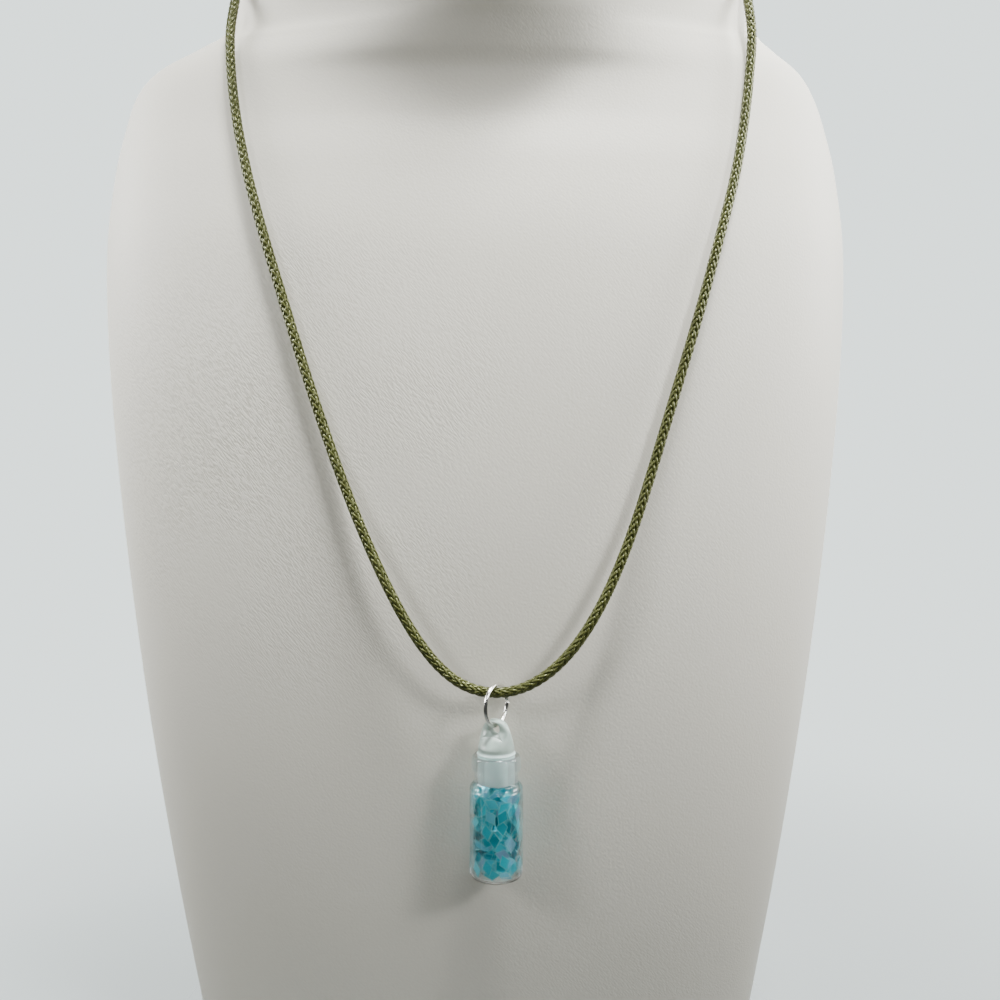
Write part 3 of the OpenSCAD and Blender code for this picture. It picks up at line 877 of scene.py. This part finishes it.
def packed(tries, seed=11):
    """Throws flakes and keeps those that fit. The first quarter of the tries goes near the glass.
    After that seven in ten go beside a flake that lies already, and three in ten anywhere: near
    the glass for the next half, and at any depth for the last quarter."""
    rng = np.random.default_rng(seed)
    centres, frames = np.empty((0, 3)), np.empty((0, 3, 3))
    for k in range(tries):
        if k < tries / 4 or rng.uniform() < 0.3:
            centre, one = thrown(rng, k < tries * 0.75)
        else:
            near = rng.integers(len(centres))
            centre, one = beside(rng, centres[near], frames[near])
        if fits(centre, one):
            close = np.linalg.norm(centres - centre, axis=1) < FLAKE_L + 0.0001
            if apart(centre, one, centres[close], frames[close]).all():
                centres, frames = np.vstack([centres, centre]), np.vstack([frames, one[None]])
    return centres, frames


flake_centres, flake_frames = packed(48000)
print(len(flake_centres), "flakes in the bottle")

# %% Flakes as one mesh
def flakes_mesh(name, centres, frames):
    """Each flake is a rhombus with a top and a bottom, eight points and six faces."""
    outline = np.array([[1, 0], [0, 1], [-1, 0], [0, -1]])
    long = outline[:, :1] * FLAKE_L / 2 * frames[:, None, 0]
    short = outline[:, 1:] * FLAKE_W / 2 * frames[:, None, 1]
    plan = long + short
    lift = FLAKE_T / 2 * frames[:, None, 2]
    points = np.concatenate([plan + lift, plan - lift], axis=1) + centres[:, None]
    shape = np.array([
        [0, 1, 2, 3], [7, 6, 5, 4], [0, 4, 5, 1], [1, 5, 6, 2], [2, 6, 7, 3], [3, 7, 4, 0],
    ])
    faces = (shape[None] + 8 * np.arange(len(centres))[:, None, None]).reshape(-1, 4)
    placed = points.reshape(-1, 3) + [HANG[0], HANG[1], BOTTLE_Z]
    piece = new_piece(name, placed, [faces], smooth=False)
    number = np.empty(len(piece.data.loops), dtype=np.int32)
    piece.data.loops.foreach_get("vertex_index", number)
    flat_map = np.tile(outline, (2, 1))[number % 8].astype(np.float32)
    flat_map[np.arange(len(number)) // 4 % 6 > 1] = [1, 0]
    piece.data.uv_layers.new(name="flake").data.foreach_set("uv", flat_map.ravel())
    tint = piece.data.attributes.new("tint", "FLOAT", "POINT")
    values = np.random.default_rng(5).uniform(size=len(centres))
    tint.data.foreach_set("value", np.repeat(values, 8).astype(np.float32))
    return piece


glitter = flakes_mesh("glitter_flakes", flake_centres, flake_frames)

# %% [markdown]
# Foil flakes are cut from metallised film: turquoise, with a shine that makes each one bright or
# dull by its angle. A bright cyan glint is painted all round each flake's rim. The tint differs
# from flake to flake, from turquoise to a greyer blue. The painted rim comes from the flake's own
# map, where |u| + |v| is 1 on the rim.

# %% Foil
foil = Finish("turquoise_foil", Roughness=0.24, Metallic=0.6, Specular_IOR_Level=0.25)
flake_u = foil.node("SeparateXYZ", {}, {0: foil.node("UVMap", {"uv_map": "flake"})})
flake_v = flake_u.output("Y")
rim = flake_u.math("ABSOLUTE", flake_u) + flake_v.math("ABSOLUTE", flake_v)
edge = foil.node("MapRange", {}, {"Value": rim, "From Min": 0.86, "From Max": 0.93})
tint = foil.node("Attribute", {"attribute_name": "tint"}, output="Fac")
blues = foil.node("ValToRGB", {"stops": [
    (0.0, (0.0, 0.28, 0.38, 1)), (0.35, (0.02, 0.74, 0.88, 1)),
    (0.75, (0.12, 0.84, 1.0, 1)), (1.0, (0.30, 0.56, 0.80, 1)),
]}, {0: tint})
# Each flake's rim and its sides are painted a bright cyan glint.
foil.colour(foil.mix(edge, blues, (0.35, 1.0, 1.0, 1)))
foil.on(glitter)
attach(glitter, "bottle")
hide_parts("glitter")

# %% [markdown]
# ## Floor and light
# The bust stands on a pale floor that fades into an even pale surround, so no horizon shows. The
# light is that of a photo tent: a lamp high above, which brightens what faces up and leaves the
# hollow of the throat dark, a large one at each side, two weak ones in front, and a surround that
# is bright behind the bust and dark in front of it. The lamps' narrow spread keeps the foot of
# the bust dimmer than its chest.

# %% Floor
FLOOR_R = 1.6
a = np.linspace(0, 2 * np.pi, 96, endpoint=False)
spread = np.array([0.3, 0.6, 1.0])[:, None] * FLOOR_R
disc = np.stack([spread * np.cos(a), spread * np.sin(a), 0 * spread * a], axis=-1)
floor_points = np.vstack([disc.reshape(-1, 3), [[0, 0, 0]]])
floor_faces = [ring_faces(3, 96), end_faces(np.arange(96), 3 * 96, True)]
floor = new_piece("floor", floor_points, floor_faces)
pale = Finish("pale_floor", Roughness=0.6, Base_Color=(0.27, 0.29, 0.29, 1))
away = pale.node("VectorMath", {"operation": "LENGTH"}, {0: pale.place()}, "Value")
pale.feed(pale.shader.inputs["Alpha"], pale.node(
    "MapRange", {"interpolation_type": "SMOOTHSTEP"},
    {"Value": away, "From Min": 0.0, "From Max": 0.26, "To Min": 0.6, "To Max": 0.0},
))
pale.on(floor)
floor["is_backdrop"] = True

# %% Lamps
def lamp(name, place, aim, size, power, spread):
    """A rectangular lamp at a place in metres, with its power in watts and its spread in degrees."""
    light = bpy.data.objects.new(name, bpy.data.lights.new(name, "AREA"))
    light.data.shape = "RECTANGLE"
    light.data.size, light.data.size_y = size
    light.data.energy = power
    light.data.spread = math.radians(spread)
    light.location = place
    light.rotation_euler = (Vector(aim) - Vector(place)).to_track_quat("-Z", "Y").to_euler()
    bpy.context.scene.collection.objects.link(light)


lamp("lamp_above", (0.10, -0.12, 0.72), (0, -0.04, 0.14), (0.24, 0.12), 0.43, 22)
lamp("lamp_left", (-0.50, 0.05, 0.34), (0, 0, 0.21), (0.30, 0.30), 0.80, 46)
lamp("lamp_right", (0.50, 0.05, 0.34), (0, 0, 0.21), (0.30, 0.30), 0.78, 46)
lamp("lamp_front_left", (-0.40, -0.36, 0.42), (-0.01, 0, 0.13), (0.18, 0.18), 0.06, 24)
lamp("lamp_front_right", (0.40, -0.36, 0.42), (0.01, 0, 0.13), (0.18, 0.18), 0.10, 24)

# %% Surround
surround = bpy.data.worlds.new("surround")
surround.use_nodes = True
bpy.context.scene.world = surround
tree = surround.node_tree
look = tree.nodes.new("ShaderNodeSeparateXYZ")
tree.links.new(tree.nodes.new("ShaderNodeTexCoord").outputs["Generated"], look.inputs[0])
fade = tree.nodes.new("ShaderNodeMapRange")
fade.interpolation_type = "SMOOTHSTEP"
for socket, value in (("From Min", 0.4), ("From Max", 0.85), ("To Min", 0.03), ("To Max", 1.9)):
    fade.inputs[socket].default_value = value
tree.links.new(look.outputs["Y"], fade.inputs["Value"])
background = tree.nodes["Background"]
background.inputs["Color"].default_value = (0.90, 1.0, 0.99, 1)
tree.links.new(fade.outputs[0], background.inputs["Strength"])

# %% [markdown]
# ## Finish
# The box of the dressed model is printed beside the box of the CAD model, because the looks
# mustn't change the object's size.

# %% Finish
bounds = {"cad": [list(corner) for corner in cad_box], "visual": [list(corner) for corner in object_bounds()]}
for name, box in bounds.items():
    print(name, "box in mm:", [[round(1000 * x, 2) for x in corner] for corner in box])
